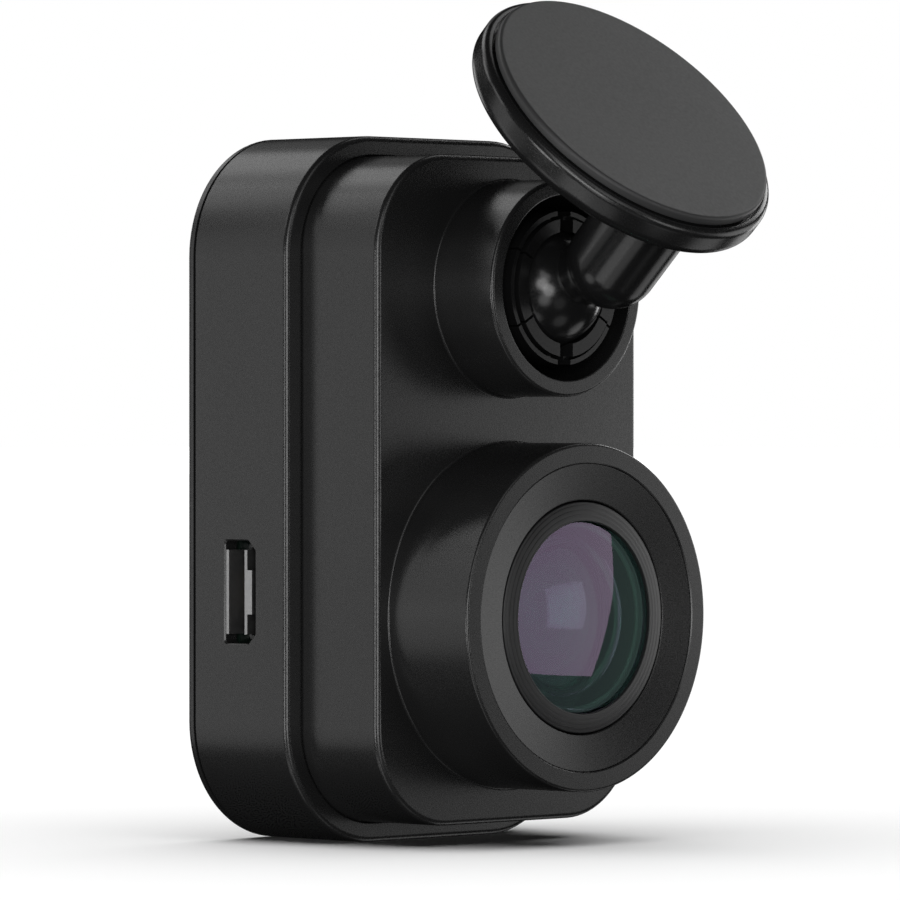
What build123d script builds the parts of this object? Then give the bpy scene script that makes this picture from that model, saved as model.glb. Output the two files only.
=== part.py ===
"""Compact dash camera with a ball-jointed windscreen mount, as separate pieces.

Millimetres.  +Z is up, the lens looks along -Y, and +X is to the right of someone who
faces the lens.  The origin is the centre of the flat underside.
"""
import os
from math import cos, radians, sin, sqrt

from build123d import *

# ---------------------------------------------------------------- driving dimensions
# rear shell and cover
body_width = 31.3
body_height = 53.1
body_corner = 9.1
back_y = 5.35
ledge_y = -5.35
edge_round = 0.45
seam_gap = 0.18
seam_depth = 0.65
cover_edge = 0.70
cover_round = 0.40
cover_plug = 1.1
cover_skin = 0.5
cover_plug_wall = 1.0
rear_wall = 1.2
shelf_width = 2.5
shelf_thick = 1.2
fit_gap = 0.1

# front shell
front_inset = 1.56
front_corner = 7.4
front_face_y = -13.27
front_wall = 1.4
front_rear_y = -3.15
rim_round = 0.22
relief_depth = 0.18
relief_width = 0.30
band_reach = 1.0
barrel_radius = 12.97
barrel_rim_y = -21.35
tunnel_radius = 11.4
tunnel_step = 1.4

# screws and what they go into
housing_post = 1.6
housing_lug = 1.8
housing_shaft = 0.7
housing_bore_y = -9.4
housing_screw_x = 10.3
housing_screw_z = 20.45
housing_screw_length = 6.2
housing_head = 1.35
housing_head_thick = 0.8
small_shaft = 0.5
small_head = 1.0
small_head_thick = 0.5
camera_post = 1.2
camera_post_y = -4.0
camera_bore_y = -8.4
camera_screw_x = 10.4
camera_screw_z = 7.2
camera_screw_length = 4.0
board_post = 1.15
board_bore = 2.6
board_screw_length = 2.9
board_screw_places = [(-13.0, 36.0), (13.0, 36.0), (0.0, 2.75)]
socket_post = 1.5
socket_bore_y = -12.5
socket_screw_x = 9.6
socket_screw_length = 2.6
shaft_gap = 0.12
recess_width = 0.25
recess_depth = 0.55

# lens
lens_z = 17.08
bezel_radius = 11.49
bezel_bore = 8.72
bezel_step = 0.10
bezel_dip = 0.40
bezel_thick = 1.6
bezel_fit = 0.03
glass_radius = 7.17
glass_hold = 0.46
glass_rim_y = -20.60
glass_dome = 42.0
glass_hollow = 14.0
ring_outer_y = -20.86
ring_inner_y = -21.02
ring_lip_y = -20.70
flange_radius = 8.60
flange_end_y = -17.0
lens_body_radius = 7.4
thread_radius = 6.0
thread_start_y = -9.4
thread_end_y = -6.2
front_seat_y = -18.15
main_bore = 5.95
second_seat_y = -15.35
tail_bore = 4.85
exit_y = -8.6
exit_bore = 3.6
element_gap = 0.05
second_front_y = -17.6
second_dome = 10.5
second_hollow = 7.0
spacer_opening = 5.62
spacer_bevel = 0.22
rear_front_y = -11.45
rear_rear_y = -9.2
rear_dome = 8.0
rear_hollow = 14.0
hollow_share = 0.86
stop_front_y = -14.7
stop_rear_y = -14.3
stop_opening = 2.2
stop_bevel = 0.2
holder_front_y = -9.2
holder_base_y = -5.8
holder_width = 16.0
holder_height = 15.2
holder_corner = 1.0
holder_inner_width = 10.0
holder_inner_height = 9.0
holder_floor_y = -5.2
holder_window = 3.4
filter_front_y = -5.75
filter_rear_y = -5.40
filter_radius = 3.35
sensor_board_y = -3.2
sensor_board_width = 23.6
sensor_board_height = 17.6
sensor_width = 7.6
sensor_height = 6.4
sensor_thick = 0.8
sensor_frame = 0.7
sensor_sink = 0.05
flex_width = 5.6
flex_x = -10.4
flex_thick = 0.2
flex_top_z = 16.0
flex_fold_z = 13.1
flex_foot_z = 10.0
flex_bend_y = 0.5
flex_offset = 0.1

# ball joint
ball_z = 41.59
ball_y = -16.85
ball_radius = 4.5
ball_clearance = 0.05
boss_radius = 8.11
boss_bore = 6.9
boss_rim_y = -19.22
collet_radius = 5.75
collet_bore = 5.2
collet_lip_y = -19.15
collet_step_y = -16.0
collet_flange_radius = 7.6
collet_ring = 5.15
collet_groove = 5.4
collet_groove_depth = 1.0
collet_set_back = 0.25
collet_mouth = 4.2
collet_slot = 1.4
collet_slit = 0.2
collet_slot_y = -14.2
collet_slot_reach = 4.0
collet_slots = 2
collet_slits = 6
cup_angle = 60.0
cup_floor = 0.9
cup_gap = 0.08
liner_angle = 34.0
liner_thick = 0.45
backing_front_y = -10.87
backing_floor_y = -9.87
backing_rear_y = -9.47
backing_width = 22.2
backing_height = 3.2
spring_inner = 2.4
spring_outer = 4.8
spring_sheet = 0.25

# windscreen mount
mount_tilt = 44.3
pad_centre_y = -26.04
pad_centre_z = 54.79
pad_radius = 11.65
pad_thick = 0.68
pad_round = 0.3
plate_radius = 12.46
plate_thick = 2.70
plate_front_round = 0.75
plate_back_round = 1.1
post_radius = 3.5
post_end_y = -23.85
post_end_z = 43.46
post_bore = 4.6
neck_start = 3.7
neck_small = 2.3
neck_large = 3.25
mount_screw_radius = 1.0
mount_screw_head = 1.9
mount_screw_gap = 0.1
mount_screw_seat = 1.1
mount_screw_sink = 0.25
mount_screw_length = 5.6

# power socket
usb_z = 18.88
usb_y = 0.08
usb_shell_width = 7.2
usb_shell_height = 2.24
usb_sheet = 0.28
usb_length = 5.6
usb_mouth_x = -15.55
usb_bevel = 0.4
usb_notch_depth = 2.4
usb_notch_height = 0.45
usb_corner = 0.3
usb_lip_width = 3.3
usb_lip_depth = 0.3
usb_lip_out = 0.5
window_back_y = 1.25
window_front_y = -1.95
window_half = 3.85
window_bevel_y = 0.8
window_bevel_z = 0.75
tongue_width = 3.8
tongue_thick = 0.6
tongue_base = 1.2
tongue_base_width = 5.0
contact_pitch = 0.65
contact_width = 0.35
contact_thick = 0.15
contact_length = 2.0

# main board and what it carries
board_front_y = 1.2
board_thick = 0.8
board_corner = 7.5
board_margin = 0.35
chip_z = 38.0
chip_side = 10.0
chip_thick = 1.0
can_side = 13.6
can_height = 1.7
can_sheet = 0.2
antenna_x = 7.0
antenna_z = 46.0
antenna_width = 7.0
antenna_height = 2.0
antenna_thick = 0.9
card_z = 20.0
card_y = 0.32
card_length = 15.0
card_width = 11.0
card_thick = 0.75
card_outer_x = 15.35
card_corner = 0.6
card_notch_length = 5.0
card_notch_depth = 1.3
card_ridge = 0.22
card_slot_gap = 0.4
card_slot_corner = 0.5
card_socket_side = 0.8
card_socket_height = 1.55
card_socket_back = 1.6
card_socket_mouth = 0.85
scoop_radius = 8.5
scoop_depth = 0.4
scoop_width = 7.0
battery_z = 38.0
battery_width = 15.0
battery_height = 17.0
battery_corner = 1.5
battery_front_y = -8.9
battery_rear_y = -4.5
battery_round = 0.6
foam_front_y = -9.47
foam_side = 12.0
foam_corner = 1.0

# rear controls
save_z = 31.5
save_radius = 4.2
menu_z = 20.5
menu_width = 9.0
menu_height = 3.6
button_proud = 0.35
button_gap = 0.12
button_round = 0.28
button_travel = 0.30
button_flange = 0.9
flange_thick = 0.55
stem_radius = 1.1
stem_gap = 0.02
dish_sphere = 30.0
dish_depth = 0.18
switch_height = 1.2
switch_side = 3.4
switch_base = 0.6
switch_dome = 1.0
light_radius = 0.6
light_flange = 0.5
light_front_y = 3.1
light_places = [(-2.2, 41.0), (2.2, 41.0)]
lamp_width = 1.6
lamp_height = 0.8
lamp_thick = 0.7
mic_z = 46.2
mic_hole = 0.45
mic_width = 3.0
mic_height = 2.2
mic_thick = 0.95
gasket_radius = 1.3
speaker_z = 9.6
speaker_radius = 4.6
speaker_thick = 1.7
speaker_rim = 1.0
speaker_cone = 1.5
sound_hole = 0.5
sound_pitch = 1.7

# ---------------------------------------------------------------- worked-out dimensions
centre_z = body_height / 2
side_x = body_width / 2
front_width = body_width - 2 * front_inset
front_height = body_height - 2 * front_inset
inner_width = body_width - 2 * rear_wall
inner_height = body_height - 2 * rear_wall
inner_corner = body_corner - rear_wall
cover_inner_y = back_y - cover_edge
board_rear_y = board_front_y + board_thick
front_inner_y = front_face_y + front_wall
shelf_back_y = front_rear_y + shelf_thick
flange_back_y = cover_inner_y - cover_skin - element_gap
flange_front_y = flange_back_y - flange_thick
switch_top_y = board_rear_y + switch_height
stem_tip_y = switch_top_y + stem_gap
mount_normal = (0, -cos(radians(mount_tilt)), sin(radians(mount_tilt)))
mount_up = (0, sin(radians(mount_tilt)), cos(radians(mount_tilt)))

sides = (-1, 1)
thirds = (-1, 0, 1)
sound_places = [(sound_pitch * i, speaker_z + sound_pitch * k) for i in thirds for k in thirds]
housing_screw_places = [
    (housing_screw_x * i, centre_z + housing_screw_z * k) for i in sides for k in sides
]
camera_screw_places = [
    (camera_screw_x * i, lens_z + camera_screw_z * k) for i in sides for k in sides
]
socket_screw_places = [(socket_screw_x * i, ball_z) for i in sides]

os.makedirs("parts", exist_ok=True)


# ---------------------------------------------------------------- shared helpers
def across(y):
    """Plane square to Y at the given y; local axes are X and Z, its normal is -Y."""
    return Plane.XZ.offset(-y)


def turned(axis_z):
    """Axis parallel to Y at height axis_z."""
    return Axis((0, 0, axis_z), (0, 1, 0))


def save(piece, label):
    """Label a finished piece and write its STEP file."""
    piece.part.label = label
    export_step(piece.part, f"parts/{label}.step")


def slab(width, height, corner, y_back, y_front, at=(0, centre_z), mode=Mode.ADD):
    """Rounded rectangle between two y values, inside the current part."""
    with BuildSketch(across(y_back)) as profile:
        with Locations(at):
            RectangleRounded(width, height, corner)
    return extrude(profile.sketch, amount=y_back - y_front, mode=mode)


def band(width, height, corner, depth, y_back, y_front):
    """Cut everything outside a rounded rectangle, to the given depth, from the current part."""
    with BuildSketch(across(y_back)) as profile:
        with Locations((0, centre_z)):
            RectangleRounded(width + 2 * depth, height + 2 * depth, corner + depth)
            RectangleRounded(width, height, corner, mode=Mode.SUBTRACT)
    return extrude(profile.sketch, amount=y_back - y_front, mode=Mode.SUBTRACT)


def disc(radius, y_back, y_front, places, mode=Mode.ADD):
    """Round discs or holes between two y values, inside the current part."""
    with BuildSketch(across(y_back)) as profile:
        with Locations(*places):
            Circle(radius)
    return extrude(profile.sketch, amount=y_back - y_front, mode=mode)


def button_slot(grow, y_back, y_front, mode=Mode.ADD):
    """Long round-ended shape of the menu button, grown all round, in the current part."""
    with BuildSketch(across(y_back)) as profile:
        with Locations((0, menu_z)):
            SlotOverall(menu_width + 2 * grow, menu_height + 2 * grow)
    return extrude(profile.sketch, amount=y_back - y_front, mode=mode)


def turned_profile(points, axis_z, mode=Mode.ADD):
    """Turn a closed outline of (y, radius) points about an axis parallel to Y."""
    with BuildSketch(Plane.YZ) as profile:
        with BuildLine():
            Polyline(*[(y, axis_z + r) for y, r in points], close=True)
        make_face()
    return revolve(profile.sketch, axis=turned(axis_z), mode=mode)


def screw_set(places, label, shaft, length, head, head_thick, head_y):
    """Pan-head screws along Y with a cross recess; head_y is the face the head bears on."""
    with BuildPart() as screws:
        disc(shaft, head_y, head_y - length, places)
        disc(head, head_y + head_thick, head_y, places)
        with BuildSketch(across(head_y + head_thick)):
            with Locations(*places):
                Rectangle(head, head * recess_width)
                Rectangle(head * recess_width, head)
        extrude(amount=head_thick * recess_depth, mode=Mode.SUBTRACT)
    save(screws, label)


# ---------------------------------------------------------------- casings
def make_front_housing():
    """Front shell with the lens barrel and the ball-socket boss moulded on."""
    shelf_y = barrel_rim_y + bezel_thick
    shelf_back = shelf_y + tunnel_step
    lens_axis = [(0, lens_z)]
    with BuildPart() as shell:
        slab(front_width, front_height, front_corner, front_rear_y, front_face_y)
        fillet(shell.faces().sort_by(Axis.Y)[0].edges(), edge_round)
        # relief in the outer wall, seen as a fine line along the ledge
        band(front_width - 2 * relief_depth, front_height - 2 * relief_depth,
             front_corner - relief_depth, band_reach, ledge_y + relief_width, ledge_y)
        disc(barrel_radius, front_inner_y, barrel_rim_y, lens_axis)
        disc(boss_radius, front_inner_y, boss_rim_y, [(0, ball_z)])
        rims = shell.faces().filter_by(Axis.Y).sort_by(Axis.Y)[0:2]
        fillet(rims[0].edges() + rims[1].edges(), rim_round)
        # cavity behind the front wall
        slab(front_width - 2 * front_wall, front_height - 2 * front_wall,
             front_corner - front_wall, front_rear_y, front_inner_y, mode=Mode.SUBTRACT)
        # lens tunnel, its shelf and the bezel pocket
        disc(tunnel_radius, front_inner_y, shelf_back, lens_axis, Mode.SUBTRACT)
        disc(flange_radius + shaft_gap, shelf_back, shelf_y, lens_axis, Mode.SUBTRACT)
        disc(bezel_radius, shelf_y, barrel_rim_y, lens_axis, Mode.SUBTRACT)
        # ball-socket bore
        disc(boss_bore, front_inner_y, boss_rim_y, [(0, ball_z)], Mode.SUBTRACT)
        # screw posts and their pilot bores
        disc(housing_post, front_rear_y, front_inner_y, housing_screw_places)
        disc(camera_post, camera_post_y, front_inner_y, camera_screw_places)
        disc(socket_post, backing_front_y, front_inner_y, socket_screw_places)
        disc(housing_shaft, front_rear_y, housing_bore_y, housing_screw_places, Mode.SUBTRACT)
        disc(small_shaft, camera_post_y, camera_bore_y, camera_screw_places, Mode.SUBTRACT)
        disc(small_shaft, backing_front_y, socket_bore_y, socket_screw_places, Mode.SUBTRACT)
    save(shell, "front_housing")


def make_rear_housing():
    """Rear shell: a deep frame round the board with a shelf that the front shell meets."""
    opening_width = inner_width - 2 * shelf_width
    opening_height = inner_height - 2 * shelf_width
    with BuildPart() as frame:
        slab(body_width, body_height, body_corner, cover_inner_y, ledge_y)
        fillet(frame.faces().sort_by(Axis.Y)[0].edges(), edge_round)
        # shadow seam under the rear cover
        band(body_width - 2 * seam_depth, body_height - 2 * seam_depth,
             body_corner - seam_depth, band_reach, cover_inner_y, cover_inner_y - seam_gap)
        # cavity behind the shelf, the opening in the shelf, and the front shell's pocket
        slab(inner_width, inner_height, inner_corner, cover_inner_y, shelf_back_y,
             mode=Mode.SUBTRACT)
        slab(opening_width, opening_height, inner_corner - shelf_width, shelf_back_y,
             front_rear_y, mode=Mode.SUBTRACT)
        slab(front_width + 2 * fit_gap, front_height + 2 * fit_gap, front_corner + fit_gap,
             front_rear_y, ledge_y, mode=Mode.SUBTRACT)
        # lugs for the housing screws and posts for the board
        disc(housing_lug, shelf_back_y, front_rear_y, housing_screw_places)
        disc(board_post, board_front_y, front_rear_y, board_screw_places)
        disc(housing_shaft + shaft_gap, shelf_back_y, front_rear_y, housing_screw_places,
             Mode.SUBTRACT)
        disc(small_shaft, board_front_y, board_front_y - board_bore, board_screw_places,
             Mode.SUBTRACT)
        cut_power_window()
        cut_card_slot()
    save(frame, "rear_housing")


def cut_power_window():
    """Power socket window in the left wall, bevelled at its front corners like the plug."""
    bevel_y = window_front_y + window_bevel_y
    bevel_z = window_half - window_bevel_z
    upper = [(window_back_y, window_half), (bevel_y, window_half), (window_front_y, bevel_z)]
    outline = upper + [(y, -z) for y, z in reversed(upper)]
    with BuildSketch(Plane.YZ.offset(-side_x)) as profile:
        with BuildLine():
            Polyline(*[(y, usb_z + z) for y, z in outline], close=True)
        make_face()
    extrude(profile.sketch, amount=rear_wall + element_gap, mode=Mode.SUBTRACT)


def cut_card_slot():
    """Memory card slot in the right wall, with a fingertip scoop over it."""
    with BuildSketch(Plane.YZ.offset(side_x)) as profile:
        with Locations((card_y, card_z)):
            RectangleRounded(card_thick + 2 * card_slot_gap, card_width + 2 * card_slot_gap,
                             card_slot_corner)
    extrude(profile.sketch, amount=-(rear_wall + element_gap), mode=Mode.SUBTRACT)
    with Locations((side_x + scoop_radius - scoop_depth, card_y, card_z)):
        Cylinder(scoop_radius, scoop_width, mode=Mode.SUBTRACT)


def make_rear_cover():
    """Flat back plate with button openings, light windows, sound and microphone holes."""
    plug_y = cover_inner_y - cover_plug
    plug_width = inner_width - 2 * fit_gap
    plug_height = inner_height - 2 * fit_gap
    plug_corner = inner_corner - fit_gap
    with BuildPart() as cover:
        slab(body_width, body_height, body_corner, back_y, cover_inner_y)
        fillet(cover.faces().sort_by(Axis.Y)[-1].edges(), cover_round)
        slab(plug_width, plug_height, plug_corner, cover_inner_y, plug_y)
        slab(plug_width - 2 * cover_plug_wall, plug_height - 2 * cover_plug_wall,
             plug_corner - cover_plug_wall, cover_inner_y - cover_skin, plug_y,
             mode=Mode.SUBTRACT)
        disc(save_radius + button_gap, back_y, plug_y, [(0, save_z)], Mode.SUBTRACT)
        button_slot(button_gap, back_y, plug_y, Mode.SUBTRACT)
        disc(light_radius + element_gap, back_y, plug_y, light_places, Mode.SUBTRACT)
        disc(mic_hole, back_y, plug_y, [(0, mic_z)], Mode.SUBTRACT)
        disc(sound_hole, back_y, plug_y, sound_places, Mode.SUBTRACT)
    save(cover, "rear_cover")


# ---------------------------------------------------------------- rear controls
def make_buttons():
    """Two rear push buttons, each with a retaining flange and a stem over its switch."""
    face_y = back_y + button_proud
    with BuildPart() as save_button:
        disc(save_radius, face_y, flange_front_y, [(0, save_z)])
        fillet(save_button.faces().sort_by(Axis.Y)[-1].edges(), button_round)
        disc(save_radius + button_flange, flange_back_y, flange_front_y, [(0, save_z)])
        disc(stem_radius, flange_front_y, stem_tip_y, [(0, save_z)])
        # shallow fingertip dish
        with Locations((0, face_y + dish_sphere - dish_depth, save_z)):
            Sphere(dish_sphere, mode=Mode.SUBTRACT)
    save(save_button, "save_button")
    with BuildPart() as menu_button:
        button_slot(0, face_y, flange_front_y)
        fillet(menu_button.faces().sort_by(Axis.Y)[-1].edges(), button_round)
        button_slot(button_flange, flange_back_y, flange_front_y)
        disc(stem_radius, flange_front_y, stem_tip_y, [(0, menu_z)])
    save(menu_button, "menu_button")


def make_switch(label, z):
    """Low-profile tactile switch: square base and round dome on the board's back."""
    base_top = board_rear_y + switch_height * switch_base
    with BuildPart() as switch:
        slab(switch_side, switch_side, edge_round, base_top, board_rear_y, at=(0, z))
        disc(switch_dome, switch_top_y - button_travel, base_top, [(0, z)])
    save(switch, label)


def make_indicators():
    """Two light guides in the cover, with the lamps that feed them on the board."""
    with BuildPart() as guides:
        disc(light_radius, back_y - stem_gap, light_front_y, light_places)
        disc(light_radius + light_flange, flange_back_y, light_front_y, light_places)
    save(guides, "light_guides")
    with BuildPart() as lamps:
        with BuildSketch(across(board_rear_y + lamp_thick)):
            with Locations(*light_places):
                Rectangle(lamp_width, lamp_height)
        extrude(amount=lamp_thick)
    save(lamps, "indicator_lamps")


def make_sound_parts():
    """Microphone with its gasket, and the small speaker behind the sound holes."""
    mic_top = board_rear_y + mic_thick
    with BuildPart() as microphone:
        slab(mic_width, mic_height, cover_round, mic_top, board_rear_y, at=(0, mic_z))
        disc(mic_hole - shaft_gap, mic_top, mic_top - mic_hole, [(0, mic_z)], Mode.SUBTRACT)
    save(microphone, "microphone")
    with BuildPart() as gasket:
        disc(gasket_radius, cover_inner_y - cover_skin, mic_top, [(0, mic_z)])
        disc(mic_hole, cover_inner_y - cover_skin, mic_top, [(0, mic_z)], Mode.SUBTRACT)
    save(gasket, "microphone_gasket")
    speaker_top = board_rear_y + speaker_thick
    cone_y = speaker_top - spring_sheet
    with BuildPart() as speaker:
        disc(speaker_radius, speaker_top, board_rear_y, [(0, speaker_z)])
        disc(speaker_radius - speaker_rim, speaker_top, cone_y, [(0, speaker_z)], Mode.SUBTRACT)
        disc(speaker_cone, cone_y + shaft_gap, cone_y, [(0, speaker_z)])
    save(speaker, "speaker")


# ---------------------------------------------------------------- electronics
def make_main_board():
    """Main circuit board, screwed to the posts of the rear shell."""
    with BuildPart() as board:
        slab(inner_width - 2 * board_margin, inner_height - 2 * board_margin, board_corner,
             board_rear_y, board_front_y)
        disc(small_shaft + shaft_gap, board_rear_y, board_front_y, board_screw_places,
             Mode.SUBTRACT)
    save(board, "main_board")
    screw_set(board_screw_places, "board_screws", small_shaft, board_screw_length, small_head,
              small_head_thick, board_rear_y)


def make_processor():
    """Processor with a pressed shield can over it, and the antenna on the board's back."""
    can_top = board_front_y - can_height
    can_inner = can_side - 2 * can_sheet
    with BuildPart() as chip:
        slab(chip_side, chip_side, can_sheet, board_front_y, board_front_y - chip_thick,
             at=(0, chip_z))
    save(chip, "processor_chip")
    with BuildPart() as can:
        slab(can_side, can_side, 4 * can_sheet, board_front_y, can_top, at=(0, chip_z))
        slab(can_inner, can_inner, 3 * can_sheet, board_front_y, can_top + can_sheet,
             at=(0, chip_z), mode=Mode.SUBTRACT)
    save(can, "shield_can")
    with BuildPart() as antenna:
        slab(antenna_width, antenna_height, can_sheet, board_rear_y + antenna_thick,
             board_rear_y, at=(antenna_x, antenna_z))
    save(antenna, "wireless_antenna")


def make_power_socket():
    """Five-way micro power socket: folded shell, tongue and contacts."""
    half_z = usb_shell_width / 2
    back = usb_y + usb_shell_height / 2
    front = usb_y - usb_shell_height / 2
    upper = [(back, half_z), (front + usb_bevel, half_z), (front, half_z - usb_bevel)]
    outline = upper + [(y, -z) for y, z in reversed(upper)]
    with BuildPart() as shell:
        with BuildSketch(Plane.YZ.offset(usb_mouth_x)):
            with BuildLine():
                Polyline(*[(y, usb_z + z) for y, z in outline], close=True)
            make_face()
            fillet(vertices(), usb_corner)
        extrude(amount=usb_length)
        ends = shell.faces().sort_by(Axis.X)
        offset(amount=-usb_sheet, openings=[ends[0], ends[-1]])
        # flared lip on the front wall that guides the plug
        with BuildSketch(across(front + usb_sheet)):
            with Locations((usb_mouth_x + usb_lip_depth / 2, usb_z)):
                Rectangle(usb_lip_depth, usb_lip_width)
        extrude(amount=usb_sheet + usb_lip_out)
        # end walls cut back, so that only the long walls reach the mouth
        with Locations((usb_mouth_x, usb_y, usb_z - half_z), (usb_mouth_x, usb_y, usb_z + half_z)):
            Box(2 * usb_notch_depth, usb_shell_height, 2 * usb_notch_height, mode=Mode.SUBTRACT)
    save(shell, "power_socket_shell")
    base_height = usb_shell_height - 2 * (usb_sheet + stem_gap)
    tongue_y = usb_y - tongue_thick / 2
    with BuildPart() as tongue:
        with Locations((usb_mouth_x + usb_length - tongue_base / 2, usb_y, usb_z)):
            Box(tongue_base, base_height, tongue_base_width)
        with Locations((usb_mouth_x + usb_length - tongue_base, tongue_y, usb_z)):
            Box(contact_length, tongue_thick, tongue_width,
                align=(Align.MAX, Align.CENTER, Align.CENTER))
    save(tongue, "power_socket_tongue")
    with BuildPart() as contacts:
        for lane in range(-2, 3):
            contact_z = usb_z + contact_pitch * lane
            with Locations((usb_mouth_x + usb_length - tongue_base, usb_y, contact_z)):
                Box(contact_length, contact_thick, contact_width,
                    align=(Align.MAX, Align.MIN, Align.CENTER))
    save(contacts, "power_socket_contacts")


def make_card_parts():
    """Push-in memory card socket and its card."""
    socket_back_x = card_outer_x - card_length - card_socket_back
    socket_mouth_x = side_x - rear_wall - card_socket_mouth
    length = socket_mouth_x - socket_back_x
    card_front_y = card_y - card_thick / 2
    with BuildPart() as socket:
        with BuildSketch(across(board_front_y)):
            with Locations((socket_back_x + length / 2, card_z)):
                Rectangle(length, card_width + 2 * card_socket_side)
        extrude(amount=card_socket_height)
        with Locations((socket_mouth_x, card_y, card_z)):
            Box(length - cover_skin, card_thick + 2 * fit_gap, card_width + 2 * fit_gap,
                align=(Align.MAX, Align.CENTER, Align.CENTER), mode=Mode.SUBTRACT)
    save(socket, "card_socket")
    with BuildPart() as card:
        with BuildSketch(across(card_front_y + card_thick)):
            with Locations((card_outer_x - card_length / 2, card_z)):
                RectangleRounded(card_length, card_width, card_corner)
            with Locations((card_outer_x - card_length, card_z + card_width / 2)):
                Rectangle(2 * card_notch_length, 2 * card_notch_depth, mode=Mode.SUBTRACT)
        extrude(amount=card_thick)
        # thumbnail ridge on the outer end
        with BuildSketch(across(card_front_y)):
            with Locations((card_outer_x - card_corner, card_z)):
                Rectangle(card_corner, card_width - 2 * card_corner)
        extrude(amount=card_ridge)
    save(card, "memory_card")


def make_backup_battery():
    """Small pouch cell on a foam pad behind the ball socket."""
    with BuildPart() as pad:
        slab(foam_side, foam_side, foam_corner, battery_front_y, foam_front_y, at=(0, battery_z))
    save(pad, "battery_foam")
    with BuildPart() as cell:
        slab(battery_width, battery_height, battery_corner, battery_rear_y, battery_front_y,
             at=(0, battery_z))
        fillet(cell.edges().filter_by(Axis.Z), battery_round)
    save(cell, "backup_battery")


# ---------------------------------------------------------------- lens assembly
def dome_sag(radius, sphere):
    """Height of a spherical cap of the given rim radius."""
    return sphere - sqrt(sphere ** 2 - radius ** 2)


def make_lens_element(label, rim, y_front, y_rear, front_sphere, rear_sphere):
    """Lens element, convex at the front and hollow at the rear."""
    hollow_rim = rim * hollow_share
    front_apex = y_front - dome_sag(rim, front_sphere)
    rear_apex = y_rear - dome_sag(hollow_rim, rear_sphere)
    front_middle = front_apex + dome_sag(rim / 2, front_sphere)
    rear_middle = rear_apex + dome_sag(hollow_rim / 2, rear_sphere)
    with BuildPart() as element:
        with BuildSketch(Plane.YZ):
            with BuildLine():
                Line((front_apex, lens_z), (rear_apex, lens_z))
                ThreePointArc((rear_apex, lens_z), (rear_middle, lens_z + hollow_rim / 2),
                              (y_rear, lens_z + hollow_rim))
                Line((y_rear, lens_z + hollow_rim), (y_rear, lens_z + rim))
                Line((y_rear, lens_z + rim), (y_front, lens_z + rim))
                ThreePointArc((y_front, lens_z + rim), (front_middle, lens_z + rim / 2),
                              (front_apex, lens_z))
            make_face()
        revolve(axis=turned(lens_z))
    save(element, label)


def make_lens_rings():
    """Dished bezel, the ring that holds the glass, and the black tube behind them."""
    bezel_face_y = barrel_rim_y + bezel_step
    bezel_back_y = barrel_rim_y + bezel_thick
    bezel_edge = bezel_radius - bezel_fit
    seat = glass_radius + glass_hold + element_gap
    with BuildPart() as bezel:
        turned_profile(
            [
                (bezel_face_y, bezel_edge), (bezel_face_y + bezel_dip, bezel_bore),
                (bezel_back_y, bezel_bore), (bezel_back_y, bezel_edge),
            ],
            lens_z,
        )
    save(bezel, "lens_bezel")
    with BuildPart() as ring:
        turned_profile(
            [
                (ring_lip_y, glass_radius), (ring_lip_y, seat), (glass_rim_y, seat),
                (glass_rim_y, flange_radius), (ring_outer_y, flange_radius),
                (ring_inner_y, glass_radius),
            ],
            lens_z,
        )
    save(ring, "lens_retaining_ring")
    with BuildPart() as barrel:
        turned_profile(
            [
                (glass_rim_y, seat), (glass_rim_y, flange_radius),
                (flange_end_y, flange_radius), (flange_end_y, lens_body_radius),
                (thread_start_y, lens_body_radius), (thread_start_y, thread_radius),
                (thread_end_y, thread_radius), (thread_end_y, exit_bore),
                (exit_y, exit_bore), (exit_y, tail_bore), (second_seat_y, tail_bore),
                (second_seat_y, main_bore), (front_seat_y, main_bore), (front_seat_y, seat),
            ],
            lens_z,
        )
    save(barrel, "lens_barrel")


def make_lens_elements():
    """Three glass elements with the spacer and the aperture stop between them."""
    second_rim = main_bore - element_gap
    rear_rim = tail_bore - element_gap
    make_lens_element("front_lens", glass_radius + glass_hold, glass_rim_y + stem_gap,
                      front_seat_y - element_gap, glass_dome, glass_hollow)
    make_lens_element("second_lens", second_rim, second_front_y, second_seat_y - element_gap,
                      second_dome, second_hollow)
    make_lens_element("rear_lens", rear_rim, rear_front_y, rear_rear_y, rear_dome, rear_hollow)
    spacer_rear_y = second_front_y - element_gap
    spacer_front_y = front_seat_y + element_gap
    with BuildPart() as spacer:
        turned_profile(
            [
                (spacer_rear_y, second_rim), (spacer_rear_y - spacer_bevel, spacer_opening),
                (spacer_front_y, spacer_opening), (spacer_front_y, second_rim),
            ],
            lens_z,
        )
    save(spacer, "lens_spacer")
    with BuildPart() as stop:
        turned_profile(
            [
                (stop_front_y, rear_rim), (stop_front_y, stop_opening + stop_bevel),
                (stop_rear_y, stop_opening), (stop_rear_y, rear_rim),
            ],
            lens_z,
        )
    save(stop, "aperture_stop")


def make_lens_holder():
    """Holder that the lens screws into, with the infrared filter on its floor."""
    bore = thread_radius + element_gap
    with BuildPart() as holder:
        disc(lens_body_radius, holder_base_y, holder_front_y, [(0, lens_z)])
        slab(holder_width, holder_height, holder_corner, camera_post_y, holder_base_y, at=(0, lens_z))
        slab(holder_inner_width, holder_inner_height, cover_skin, camera_post_y,
             holder_floor_y, at=(0, lens_z), mode=Mode.SUBTRACT)
        disc(holder_window, holder_floor_y, holder_base_y, [(0, lens_z)], Mode.SUBTRACT)
        disc(bore, holder_base_y, holder_front_y, [(0, lens_z)], Mode.SUBTRACT)
    save(holder, "lens_holder")
    with BuildPart() as infrared_filter:
        disc(filter_radius, filter_rear_y, filter_front_y, [(0, lens_z)])
    save(infrared_filter, "infrared_filter")


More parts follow.
